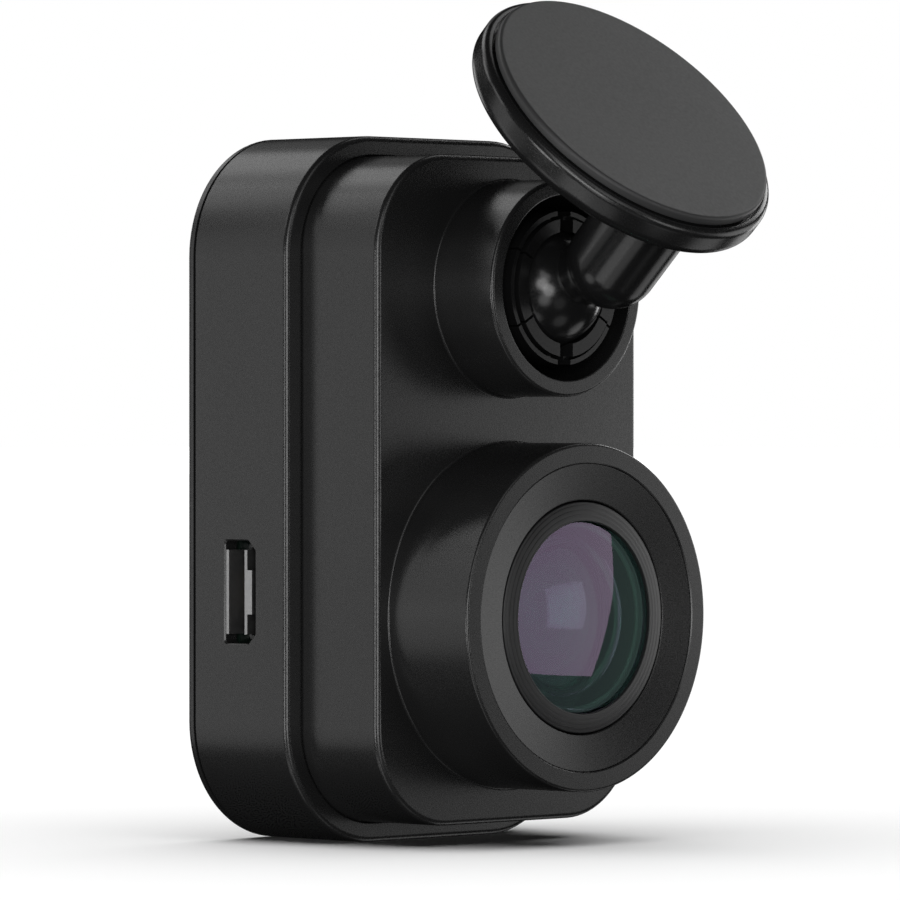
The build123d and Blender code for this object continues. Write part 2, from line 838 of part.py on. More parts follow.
def make_camera_board():
    """Sensor board with the sensor, its screws and the flat flex to the main board."""
    board_front = sensor_board_y - board_thick
    sensor_face = board_front - sensor_thick
    with BuildPart() as board:
        slab(sensor_board_width, sensor_board_height, socket_post, sensor_board_y,
             board_front, at=(0, lens_z))
        disc(small_shaft + shaft_gap, sensor_board_y, board_front, camera_screw_places,
             Mode.SUBTRACT)
    save(board, "sensor_board")
    with BuildPart() as sensor:
        slab(sensor_width, sensor_height, can_sheet, board_front, sensor_face, at=(0, lens_z))
        slab(sensor_width - 2 * sensor_frame, sensor_height - 2 * sensor_frame,
             element_gap, sensor_face + sensor_sink, sensor_face, at=(0, lens_z),
             mode=Mode.SUBTRACT)
    save(sensor, "image_sensor")
    screw_set(camera_screw_places, "camera_screws", small_shaft, camera_screw_length,
              small_head, small_head_thick, sensor_board_y)
    flex_outline = [
        (sensor_board_y, flex_top_z), (sensor_board_y + flex_thick, flex_top_z),
        (sensor_board_y + flex_thick, flex_fold_z + flex_offset),
        (flex_bend_y + flex_offset, flex_foot_z + flex_thick),
        (board_front_y, flex_foot_z + flex_thick), (board_front_y, flex_foot_z),
        (flex_bend_y, flex_foot_z), (sensor_board_y, flex_fold_z),
    ]
    with BuildPart() as flex:
        with BuildSketch(Plane.YZ.offset(flex_x)):
            with BuildLine():
                Polyline(*flex_outline, close=True)
            make_face()
        extrude(amount=flex_width)
    save(flex, "sensor_flex")


# ---------------------------------------------------------------- ball socket
def on_ball(radius, angle):
    """Point (y, z) on a circle about the ball's centre, angle in degrees from +Y."""
    turn = radians(angle)
    return (ball_y + radius * cos(turn), ball_z + radius * sin(turn))


def make_collet():
    """Slotted collet that grips the front of the ball."""
    sphere = ball_radius + ball_clearance
    groove_y = collet_lip_y + collet_groove_depth
    edge_y = collet_lip_y + collet_set_back
    mouth_y = ball_y - sqrt(sphere ** 2 - collet_mouth ** 2)
    step_r = sqrt(sphere ** 2 - (collet_step_y - ball_y) ** 2)
    outline = [
        (mouth_y, collet_mouth), (collet_lip_y, collet_mouth),
        (collet_lip_y, collet_ring), (groove_y, collet_ring),
        (groove_y, collet_groove), (edge_y, collet_groove), (edge_y, collet_radius),
        (front_inner_y, collet_radius), (front_inner_y, collet_flange_radius),
        (backing_front_y, collet_flange_radius), (backing_front_y, collet_bore),
        (collet_step_y, collet_bore), (collet_step_y, step_r),
    ]
    corners = [(y, ball_z + r) for y, r in outline]
    with BuildPart() as collet:
        with BuildSketch(Plane.YZ):
            with BuildLine():
                Polyline(*corners)
                ThreePointArc(corners[-1], (ball_y, ball_z + sphere), corners[0])
            make_face()
        revolve(axis=turned(ball_z))
        with BuildSketch(across(collet_slot_y)):
            with Locations((0, ball_z)):
                with PolarLocations(collet_bore, collet_slots, start_angle=90):
                    Rectangle(collet_slot_reach, collet_slot)
                with PolarLocations(collet_bore, collet_slits, start_angle=30):
                    Rectangle(collet_slot_reach, collet_slit)
        extrude(amount=collet_slot_y - boss_rim_y, mode=Mode.SUBTRACT)
    save(collet, "ball_collet")


def make_cup():
    """Turning cup behind the ball, with the friction liner between them."""
    sphere = ball_radius + ball_clearance
    liner_outer = sphere + liner_thick
    cup_sphere = liner_outer + ball_clearance
    cup_radius = collet_bore - cup_gap
    floor_y = ball_y + cup_sphere + cup_floor
    hollow = on_ball(cup_sphere, 0)
    rim = on_ball(cup_sphere, cup_angle)
    with BuildPart() as cup:
        with BuildSketch(Plane.YZ):
            with BuildLine():
                ThreePointArc(hollow, on_ball(cup_sphere, cup_angle / 2), rim)
                Polyline(rim, (rim[0], ball_z + cup_radius), (floor_y, ball_z + cup_radius),
                         (floor_y, ball_z), hollow)
            make_face()
        revolve(axis=turned(ball_z))
    save(cup, "ball_cup")
    half = liner_angle / 2
    with BuildPart() as liner:
        with BuildSketch(Plane.YZ):
            with BuildLine():
                ThreePointArc(on_ball(sphere, 0), on_ball(sphere, half),
                              on_ball(sphere, liner_angle))
                Line(on_ball(sphere, liner_angle), on_ball(liner_outer, liner_angle))
                ThreePointArc(on_ball(liner_outer, liner_angle), on_ball(liner_outer, half),
                              on_ball(liner_outer, 0))
                Line(on_ball(liner_outer, 0), on_ball(sphere, 0))
            make_face()
        revolve(axis=turned(ball_z))
    save(liner, "friction_liner")
    return floor_y


def make_backing(cup_back_y):
    """Disc spring behind the cup, and the plate that is screwed down over it."""
    spring_front_y = cup_back_y + 2 * stem_gap
    backing_axis = [(0, ball_z)]
    with BuildPart() as spring:
        turned_profile(
            [
                (spring_front_y, spring_inner), (backing_floor_y - spring_sheet, spring_outer),
                (backing_floor_y, spring_outer), (spring_front_y + spring_sheet, spring_inner),
            ],
            ball_z,
        )
    save(spring, "disc_spring")
    with BuildPart() as backing:
        slab(backing_width, backing_height, socket_post, backing_rear_y, backing_front_y,
             at=(0, ball_z))
        disc(collet_flange_radius, backing_rear_y, backing_front_y, backing_axis)
        disc(collet_bore - 2 * cup_gap, backing_floor_y, backing_front_y, backing_axis,
             Mode.SUBTRACT)
        disc(small_shaft + shaft_gap, backing_rear_y, backing_front_y, socket_screw_places,
             Mode.SUBTRACT)
    save(backing, "socket_plate")
    screw_set(socket_screw_places, "socket_screws", small_shaft, socket_screw_length,
              small_head, small_head_thick, backing_rear_y)


# ---------------------------------------------------------------- windscreen mount
def mount_plane(depth, along=0.0):
    """Plane square to the mount's normal, depth behind the pad face."""
    return Plane(
        origin=(
            0,
            pad_centre_y - depth * mount_normal[1] + along * mount_up[1],
            pad_centre_z - depth * mount_normal[2] + along * mount_up[2],
        ),
        x_dir=(1, 0, 0),
        z_dir=mount_normal,
    )


def mount_disc(radius, depth, thick, along=0.0, mode=Mode.ADD):
    """Disc square to the mount's normal, its face at that depth, in the current part."""
    with BuildSketch(mount_plane(depth, along)) as profile:
        Circle(radius)
    return extrude(profile.sketch, amount=-thick, mode=mode)


def make_mount():
    """Ball stud with its bent neck, the round plate, its screw and the adhesive pad."""
    plate_back = pad_thick + plate_thick
    reach_y = pad_centre_y - post_end_y
    reach_z = pad_centre_z - post_end_z
    post_along = -(reach_y * mount_up[1] + reach_z * mount_up[2])
    post_length = reach_y * mount_normal[1] + reach_z * mount_normal[2] - plate_back
    neck_run = Vector(0, post_end_y - ball_y, post_end_z - ball_z)
    neck_dir = neck_run.normalized()
    neck_origin = Vector(0, ball_y, ball_z) + neck_dir * neck_start

    with BuildPart() as stud:
        with Locations((0, ball_y, ball_z)):
            Sphere(ball_radius)
        with Locations(Plane(origin=neck_origin, z_dir=neck_dir)):
            Cone(neck_small, neck_large, neck_run.length - neck_start,
                 align=(Align.CENTER, Align.CENTER, Align.MIN))
        with Locations((0, post_end_y, post_end_z)):
            Sphere(post_radius)
        mount_disc(post_radius, plate_back, post_length, post_along)
        mount_disc(mount_screw_radius, plate_back, post_bore, post_along, Mode.SUBTRACT)
    save(stud, "ball_stud")

    with BuildPart() as plate:
        mount_disc(plate_radius, pad_thick, plate_thick)
        rims = plate.edges().filter_by(GeomType.CIRCLE).sort_by(Axis.Z)
        fillet(rims[-1], plate_front_round)
        fillet(plate.edges().filter_by(GeomType.CIRCLE).sort_by(Axis.Z)[0], plate_back_round)
        mount_disc(mount_screw_radius + shaft_gap, pad_thick, plate_thick, post_along,
                   Mode.SUBTRACT)
        mount_disc(mount_screw_head + mount_screw_gap, pad_thick, mount_screw_seat, post_along,
                   Mode.SUBTRACT)
    save(plate, "mount_plate")

    head_depth = pad_thick + mount_screw_sink
    seat_depth = pad_thick + mount_screw_seat
    with BuildPart() as screw:
        mount_disc(mount_screw_head, head_depth, seat_depth - head_depth, post_along)
        mount_disc(mount_screw_radius, seat_depth, mount_screw_length, post_along)
    save(screw, "mount_screw")

    with BuildPart() as pad:
        mount_disc(pad_radius, 0, pad_thick)
        fillet(pad.edges().filter_by(GeomType.CIRCLE).sort_by(Axis.Z)[-1], pad_round)
    save(pad, "adhesive_pad")


make_front_housing()
make_rear_housing()
make_rear_cover()
make_buttons()
make_switch("save_switch", save_z)
make_switch("menu_switch", menu_z)
make_indicators()
make_sound_parts()
make_main_board()
make_processor()
make_power_socket()
make_card_parts()
make_backup_battery()
make_lens_rings()
make_lens_elements()
make_lens_holder()
make_camera_board()
screw_set(housing_screw_places, "housing_screws", housing_shaft, housing_screw_length,
          housing_head, housing_head_thick, shelf_back_y)
make_collet()
make_backing(make_cup())
make_mount()
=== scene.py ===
import math

import bmesh
import bpy
from mathutils import Matrix, Vector


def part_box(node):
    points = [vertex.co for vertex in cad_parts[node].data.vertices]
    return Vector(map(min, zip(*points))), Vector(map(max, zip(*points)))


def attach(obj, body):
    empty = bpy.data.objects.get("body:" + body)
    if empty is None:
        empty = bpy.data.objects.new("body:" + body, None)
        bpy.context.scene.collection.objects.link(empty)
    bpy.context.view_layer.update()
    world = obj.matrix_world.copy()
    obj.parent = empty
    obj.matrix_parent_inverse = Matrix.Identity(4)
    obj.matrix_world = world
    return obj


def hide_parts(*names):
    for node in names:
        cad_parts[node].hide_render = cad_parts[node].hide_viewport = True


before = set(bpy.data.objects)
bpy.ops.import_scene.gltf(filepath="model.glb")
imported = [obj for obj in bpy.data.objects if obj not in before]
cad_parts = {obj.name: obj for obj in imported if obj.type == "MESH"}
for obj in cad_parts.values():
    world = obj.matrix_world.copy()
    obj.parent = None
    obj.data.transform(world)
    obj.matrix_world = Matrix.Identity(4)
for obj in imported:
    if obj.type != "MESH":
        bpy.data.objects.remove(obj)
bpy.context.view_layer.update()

MM = 0.001

# ------------------------------------------------------------------ sizes, in millimetres
CORNER = 9.1
INSET = 1.56
SEAM = 0.18
FRONT_CORNER = 7.4
FRONT_WALL = 1.4
REAR_WALL = 1.2
FRONT_FACE = -13.27
LEDGE = -5.35
LEDGE_RELIEF = 0.3
LEDGE_RELIEF_DEPTH = 0.18
EDGE = 0.45
SEAM_INSET = 0.65
RIB_START = 2.2
RIB_END = 3.4
RIB_INSET = 2.5
FLARE = 0.18
FLARE_ROUND = 0.98
BARREL_RADIUS = 12.97
TUNNEL_RADIUS = 11.4
TUNNEL_SHELF = 1.4
TUNNEL_LIP = 0.08
BEZEL_RADIUS = 11.49
BEZEL_BORE = 8.72
BEZEL_DIP = 0.40
RING_RADIUS = 8.60
GLASS_RADIUS = 7.17
GLASS_DOME = 42.0
GLASS_HOLLOW = 14.0
SECOND_DOME = 10.5
SECOND_HOLLOW = 7.0
REAR_DOME = 8.0
REAR_HOLLOW = 14.0
HOLLOW_SHARE = 0.86
GLASS_SEAT = 0.51
GLASS_STEPS = 48
RING_OUTER = -20.86
RING_LIP = -20.70
LENS_Z = 17.08
BALL_Y = -16.85
BALL_Z = 41.59
BALL_RADIUS = 4.5
BOSS_RADIUS = 8.11
BOSS_BORE = 6.9
BOSS_RIM = -19.22
BOSS_LIP = 0.14
BOSS_LIP_STEP = 0.04
TILT = math.radians(44.3)
PAD_CENTRE = Vector((0, -26.04, 54.79))
PAD_RADIUS = 11.648
PAD_THICK = 0.68
PLATE_RADIUS = 12.458
PLATE_THICK = 2.70
PLATE_RIM_DROP = 0.08
PLATE_GROOVE_OUTER = 11.80
PLATE_GROOVE_INNER = 11.5
PLATE_GROOVE_DEPTH = 0.6
POST_RADIUS = 3.5
POST_END = Vector((0, -23.85, 43.46))
NECK_START = 3.7
NECK_SMALL = 2.3
NECK_LARGE = 3.25
NECK_SUNK = 0.6
POST_SUNK = 0.3
BALL_STEPS = 96
WINDOW_BACK = 1.25
WINDOW_FRONT = -1.95
WINDOW_HALF = 3.85
WINDOW_BEVEL = 0.75
CARD_SLIT_Y = 0.32
CARD_SLIT_HALF = (0.775, 5.95)
CARD_SLIT_ROUND = 0.45
SCOOP_RADIUS = 8.5
SCOOP_HALF = 3.5
SCOOP_DEPTH = 0.4


def node_box(node):
    """Lowest and highest corner of a CAD node, in millimetres."""
    low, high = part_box(node)
    return Vector(low) / MM, Vector(high) / MM


case_low, case_high = node_box("rear_housing")
BACK = node_box("rear_cover")[1].y
front_low, front_high = node_box("front_housing")
ring_low, ring_high = node_box("lens_retaining_ring")
bezel_low, bezel_high = node_box("lens_bezel")
WIDTH = case_high.x - case_low.x
HEIGHT = case_high.z - case_low.z
CENTRE_Z = (case_low.z + case_high.z) / 2
RIM = front_low.y


# ------------------------------------------------------------------ mesh building
def round_corners(points, radii, steps=6, closed=True):
    """Outline with each corner replaced by an arc of the given radius (0 keeps it sharp)."""
    out = []
    count = len(points)
    for i, (corner, radius) in enumerate(zip(points, radii)):
        here = Vector(corner)
        if radius <= 0 or (not closed and i in (0, count - 1)):
            out.append(tuple(here))
            continue
        to_prev = (Vector(points[i - 1]) - here).normalized()
        to_next = (Vector(points[(i + 1) % count]) - here).normalized()
        half = to_prev.angle(to_next) / 2
        run = radius / math.tan(half)
        centre = here + (to_prev + to_next).normalized() * (radius / math.sin(half))
        start = here + to_prev * run - centre
        end = here + to_next * run - centre
        sweep = math.pi - 2 * half
        for k in range(steps + 1):
            t = k / steps
            a = math.sin((1 - t) * sweep) / math.sin(sweep)
            b = math.sin(t * sweep) / math.sin(sweep)
            out.append(tuple(centre + start * a + end * b))
    return out


def new_object(name, mesh, smooth_angle=35.0):
    """Object from a mesh built in millimetres, smooth shaded with weighted normals."""
    mesh.transform(Matrix.Scale(MM, 4))
    mesh.validate()
    obj = bpy.data.objects.new(name, mesh)
    bpy.context.collection.objects.link(obj)
    shade(obj, smooth_angle)
    return obj


def shade(obj, smooth_angle=35.0):
    obj.data.polygons.foreach_set("use_smooth", [True] * len(obj.data.polygons))
    obj.data.set_sharp_from_angle(angle=math.radians(smooth_angle))
    weighted = obj.modifiers.new("weighted", "WEIGHTED_NORMAL")
    weighted.keep_sharp = True
    weighted.mode = "FACE_AREA_WITH_ANGLE"


def from_bmesh(name, bm):
    bmesh.ops.remove_doubles(bm, verts=bm.verts, dist=1e-5)
    bmesh.ops.recalc_face_normals(bm, faces=bm.faces)
    mesh = bpy.data.meshes.new(name)
    bm.to_mesh(mesh)
    bm.free()
    return mesh


def turned(name, outline, axis_z=0.0, segments=256, place=None, closed=True):
    """Mesh of an outline of (along, radius) turned about an axis parallel to Y, then placed.
    An open outline starts and ends on the axis, in a pole or in one flat face."""
    points = list(outline)
    flat = [False, False]
    if not closed:
        flat = [abs(points[0][0] - points[1][0]) < 1e-6,
                abs(points[-1][0] - points[-2][0]) < 1e-6]
        points = points[flat[0]:len(points) - flat[1]]
    bm = bmesh.new()
    rows = []
    for along, radius in points:
        if radius < 1e-6:
            rows.append([bm.verts.new((0, along, axis_z))])
            continue
        row = []
        for k in range(segments):
            a = 2 * math.pi * k / segments
            row.append(bm.verts.new((radius * math.sin(a), along, axis_z + radius * math.cos(a))))
        rows.append(row)
    pairs = list(zip(rows, rows[1:]))
    if closed:
        pairs.append((rows[-1], rows[0]))
    for first, second in pairs:
        for k in range(segments):
            n = (k + 1) % segments
            if len(first) == 1:
                bm.faces.new((first[0], second[k], second[n]))
            elif len(second) == 1:
                bm.faces.new((first[k], second[0], first[n]))
            else:
                bm.faces.new((first[k], second[k], second[n], first[n]))
    if flat[0]:
        bm.faces.new(rows[0])
    if flat[1]:
        bm.faces.new(list(reversed(rows[-1])))
    mesh = from_bmesh(name, bm)
    if place is not None:
        mesh.transform(place)
    return mesh


def case_loop(inset, y, corner=CORNER, width=None, height=None, steps=20):
    """Rounded rectangle, inset from the case outline, at the given y."""
    half_w = (width or WIDTH) / 2 - inset
    half_h = (height or HEIGHT) / 2 - inset
    radius = max(corner - inset, 0.05)
    points = []
    for quarter, (sx, sz) in enumerate(((1, 1), (-1, 1), (-1, -1), (1, -1))):
        for k in range(steps + 1):
            a = math.pi / 2 * (quarter + k / steps)
            points.append(
                (
                    sx * (half_w - radius) + radius * math.cos(a),
                    y,
                    CENTRE_Z + sz * (half_h - radius) + radius * math.sin(a),
                )
            )
    return points


def swept_case(name, outline, closed=True, **loop):
    """Outline of (inset, y) carried round the case. An open outline is capped at both ends."""
    bm = bmesh.new()
    rings = [[bm.verts.new(p) for p in case_loop(i, y, **loop)] for i, y in outline]
    count = len(rings[0])
    pairs = list(zip(rings, rings[1:]))
    if closed:
        pairs.append((rings[-1], rings[0]))
    for first, second in pairs:
        for k in range(count):
            n = (k + 1) % count
            bm.faces.new((first[k], second[k], second[n], first[n]))
    if not closed:
        bm.faces.new(rings[0])
        bm.faces.new(list(reversed(rings[-1])))
    return from_bmesh(name, bm)


def combine(name, base, tools):
    """Solid boolean of plain meshes: tools is a list of (mesh, operation)."""
    obj = bpy.data.objects.new(name, base)
    bpy.context.collection.objects.link(obj)
    helpers = []
    for mesh, operation in tools:
        helper = bpy.data.objects.new("tool", mesh)
        bpy.context.collection.objects.link(helper)
        helpers.append(helper)
        step = obj.modifiers.new("step", "BOOLEAN")
        step.object = helper
        step.operation = operation
        step.solver = "EXACT"
    graph = bpy.context.evaluated_depsgraph_get()
    result = bpy.data.meshes.new_from_object(obj.evaluated_get(graph))
    for helper in helpers:
        bpy.data.objects.remove(helper)
    bpy.data.objects.remove(obj)
    result.name = name
    return result


def prism_x(name, loops):
    """Solid between loops of (y, z) points at given x: loops is a list of (x, points)."""
    bm = bmesh.new()
    rings = [[bm.verts.new((x, y, z)) for y, z in points] for x, points in loops]
    count = len(rings[0])
    for first, second in zip(rings, rings[1:]):
        for k in range(count):
            n = (k + 1) % count
            bm.faces.new((first[k], second[k], second[n], first[n]))
    bm.faces.new(rings[0])
    bm.faces.new(list(reversed(rings[-1])))
    return from_bmesh(name, bm)


def place(obj, body, material, slot, *nodes):
    """Material, body and the CAD nodes that the piece stands for. The slot is not used."""
    obj.data.materials.clear()
    obj.data.materials.append(material)
    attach(obj, body)
    if nodes:
        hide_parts(*nodes)
    return obj


# ------------------------------------------------------------------ materials
class Nodes:
    """Small helper round a material's node tree."""

    def __init__(self, name):
        self.material = bpy.data.materials.new(name)
        self.material.use_nodes = True
        self.tree = self.material.node_tree
        self.shader = self.tree.nodes["Principled BSDF"]
        coords = self.tree.nodes.new("ShaderNodeTexCoord")
        self.position = coords.outputs["Object"]

    def add(self, kind, **inputs):
        node = self.tree.nodes.new(kind)
        for key, value in inputs.items():
            node.inputs[key.replace("_", " ")].default_value = value
        return node

    def link(self, a, b):
        self.tree.links.new(a, b)

    def noise(self, size_mm, detail=2.0, rough=0.5):
        """Noise whose features are about size_mm across."""
        node = self.add("ShaderNodeTexNoise", Scale=1.0 / (size_mm * MM), Detail=detail)
        node.inputs["Roughness"].default_value = rough
        self.link(self.position, node.inputs["Vector"])
        return node.outputs["Fac"]

    def mapped(self, source, low, high, start=0.3, end=0.7):
        node = self.add("ShaderNodeMapRange")
        node.inputs["From Min"].default_value = start
        node.inputs["From Max"].default_value = end
        node.inputs["To Min"].default_value = low
        node.inputs["To Max"].default_value = high
        self.link(source, node.inputs["Value"])
        return node.outputs["Result"]

    def colours(self, source, low, high):
        """Mix of two colours by source."""
        node = self.tree.nodes.new("ShaderNodeMix")
        node.data_type = "RGBA"
        node.inputs["A"].default_value = (*low, 1)
        node.inputs["B"].default_value = (*high, 1)
        self.link(source, node.inputs["Factor"])
        return node.outputs["Result"]

    def edges(self, radius_mm):
        """1 on flat ground, falling where an edge is nearer than the radius."""
        soft = self.tree.nodes.new("ShaderNodeBevel")
        soft.samples = 4
        soft.inputs["Radius"].default_value = radius_mm * MM
        flat = self.tree.nodes.new("ShaderNodeNewGeometry").outputs["Normal"]
        dot = self.tree.nodes.new("ShaderNodeVectorMath")
        dot.operation = "DOT_PRODUCT"
        self.link(soft.outputs[0], dot.inputs[0])
        self.link(flat, dot.inputs[1])
        return dot.outputs["Value"]

    def bump(self, sources):
        """Stack of bumps: (height, depth in mm, strength)."""
        normal = None
        for height, depth, strength in sources:
            node = self.add("ShaderNodeBump", Strength=strength, Distance=depth * MM)
            self.link(height, node.inputs["Height"])
            if normal is not None:
                self.link(normal, node.inputs["Normal"])
            normal = node.outputs["Normal"]
        self.link(normal, self.shader.inputs["Normal"])


def moulded(name, colour, rough, grain=0.12, depth=0.006, highlight_lift=1.35, specular=0.5):
    """Moulded plastic: fine spark grain, faint cloudiness, and a painted highlight: edges painted
    slightly brighter.
    """
    n = Nodes(name)
    grit = n.noise(grain, detail=3.0)
    cloud = n.noise(6.0, detail=2.0)
    # mask of the edges that get the painted highlight
    edge_highlight_mask = n.edges(0.22)
    base = n.colours(n.mapped(cloud, 0, 1), colour, tuple(c * 1.12 for c in colour))
    # painted highlight: the base colour is lifted towards the edges found by the bevel mask
    edge = n.tree.nodes.new("ShaderNodeMix")
    edge.data_type = "RGBA"
    edge.inputs["B"].default_value = (*(c * highlight_lift for c in colour), 1)
    n.link(n.mapped(edge_highlight_mask, 1, 0, 0.75, 0.99), edge.inputs["Factor"])
    n.link(base, edge.inputs["A"])
    n.link(edge.outputs["Result"], n.shader.inputs["Base Color"])
    n.link(n.mapped(grit, rough - 0.05, rough + 0.05), n.shader.inputs["Roughness"])
    n.shader.inputs["Specular IOR Level"].default_value = specular
    n.bump([(grit, depth, 0.6)])
    return n.material


def turned_metal(name, colour, rough, axis_z):
    """Anodised metal with the fine rings of turning about an axis parallel to Y."""
    n = Nodes(name)
    split = n.add("ShaderNodeSeparateXYZ")
    n.link(n.position, split.inputs[0])
    height = n.add("ShaderNodeMath")
    height.operation = "SUBTRACT"
    height.inputs[1].default_value = axis_z * MM
    n.link(split.outputs["Z"], height.inputs[0])
    flat = n.add("ShaderNodeCombineXYZ")
    n.link(split.outputs["X"], flat.inputs["X"])
    n.link(height.outputs[0], flat.inputs["Z"])
    rings = n.add("ShaderNodeTexWave", Scale=900.0, Distortion=0.4, Detail=1.0)
    rings.wave_type = "RINGS"
    rings.rings_direction = "SPHERICAL"
    n.link(flat.outputs[0], rings.inputs["Vector"])
    cloud = n.noise(1.5)
    n.link(n.colours(n.mapped(cloud, 0, 1), colour, tuple(c * 1.25 for c in colour)),
           n.shader.inputs["Base Color"])
    n.link(n.mapped(rings.outputs["Fac"], rough - 0.05, rough + 0.08, 0, 1),
           n.shader.inputs["Roughness"])
    n.bump([(rings.outputs["Fac"], 0.004, 0.5)])
    return n.material


def metal(name, colour, rough, scratch=0.15):
    """Plated metal with fine drawn scratches."""
    n = Nodes(name)
    n.shader.inputs["Metallic"].default_value = 1.0
    stretch = n.add("ShaderNodeMapping")
    stretch.inputs["Scale"].default_value = (1, 1, 12)
    n.link(n.position, stretch.inputs["Vector"])
    lines = n.add("ShaderNodeTexNoise", Scale=2500.0, Detail=3.0)
    n.link(stretch.outputs[0], lines.inputs["Vector"])
    cloud = n.noise(1.0)
    n.link(n.colours(n.mapped(cloud, 0, 1), colour, tuple(min(1, c * 1.1) for c in colour)),
           n.shader.inputs["Base Color"])
    n.link(n.mapped(lines.outputs["Fac"], rough, rough + scratch), n.shader.inputs["Roughness"])
    n.bump([(lines.outputs["Fac"], 0.002, 0.4)])
    return n.material


def coated_glass(name, reflection, index, body, haze=0.0):
    """Coated optical glass: clear body, with a coloured reflection."""
    n = Nodes(name)
    smear = n.noise(3.0, detail=3.0)
    n.link(n.colours(n.mapped(smear, 0, 1), body, tuple(c * 0.97 for c in body)),
           n.shader.inputs["Base Color"])
    n.link(n.mapped(smear, haze, haze + 0.012), n.shader.inputs["Roughness"])
    n.shader.inputs["Transmission Weight"].default_value = 1.0
    n.shader.inputs["IOR"].default_value = index
    n.shader.inputs["Specular Tint"].default_value = (*reflection, 1)
    return n.material


def board(name, colour):
    """Circuit board laminate with faint tracks under the solder mask."""
    n = Nodes(name)
    tracks = n.add("ShaderNodeTexBrick", Scale=380.0)
    n.link(n.position, tracks.inputs["Vector"])
    n.link(n.colours(tracks.outputs["Fac"], colour, tuple(c * 1.6 for c in colour)),
           n.shader.inputs["Base Color"])
    grit = n.noise(0.2)
    n.link(n.mapped(grit, 0.3, 0.45), n.shader.inputs["Roughness"])
    n.bump([(tracks.outputs["Fac"], 0.02, 0.3)])
    return n.material


shell_plastic = moulded("shell_plastic", (0.012, 0.012, 0.0122), 0.27)
bezel_plastic = moulded("bezel_plastic", (0.012, 0.012, 0.0122), 0.27, grain=0.10, depth=0.004)
collet_plastic = moulded("collet_plastic", (0.008, 0.008, 0.0082), 0.20, depth=0.002, specular=0.3)
stud_plastic = moulded("stud_plastic", (0.008, 0.008, 0.0082), 0.20, depth=0.001)
plate_plastic = moulded("plate_plastic", (0.010, 0.010, 0.0102), 0.24, depth=0.003)
pad_film = moulded("pad_film", (0.030, 0.030, 0.0305), 0.50, grain=0.25, depth=0.004)
button_plastic = moulded("button_plastic", (0.03, 0.03, 0.031), 0.45)
dark_plastic = moulded("dark_plastic", (0.012, 0.012, 0.012), 0.5)
lens_black = turned_metal("lens_black", (0.014, 0.014, 0.0145), 0.32, LENS_Z)
plated = metal("plated_steel", (0.78, 0.77, 0.75), 0.18)
socket_metal = metal("socket_metal", (0.40, 0.40, 0.40), 0.34)
zinc = metal("zinc_steel", (0.5, 0.5, 0.5), 0.3)
gold = metal("contact_gold", (0.30, 0.22, 0.10), 0.35)
laminate = board("board_laminate", (0.008, 0.016, 0.012))
epoxy = moulded("chip_epoxy", (0.02, 0.02, 0.022), 0.5, grain=0.08)
acetal = moulded("natural_acetal", (0.6, 0.59, 0.55), 0.4)
foil = metal("pouch_foil", (0.6, 0.6, 0.62), 0.3, 0.2)
film = moulded("flex_film", (0.45, 0.2, 0.03), 0.35)
acrylic = moulded("light_acrylic", (0.55, 0.55, 0.55), 0.3, depth=0.002)
front_glass = coated_glass("front_glass", (0.86, 0.62, 1.0), 1.75, (0.37, 0.53, 0.50))
inner_glass = coated_glass("inner_glass", (0.50, 0.90, 0.85), 1.62, (0.4, 0.7, 0.6), 0.09)
rear_glass = coated_glass("rear_glass", (0.90, 0.60, 0.95), 1.70, (0.9, 0.95, 0.95))
filter_glass = coated_glass("filter_glass", (0.90, 0.40, 0.50), 1.52, (0.5, 0.75, 0.8))
sensor_cover = moulded("sensor_cover", (0.03, 0.02, 0.05), 0.15, depth=0.001)


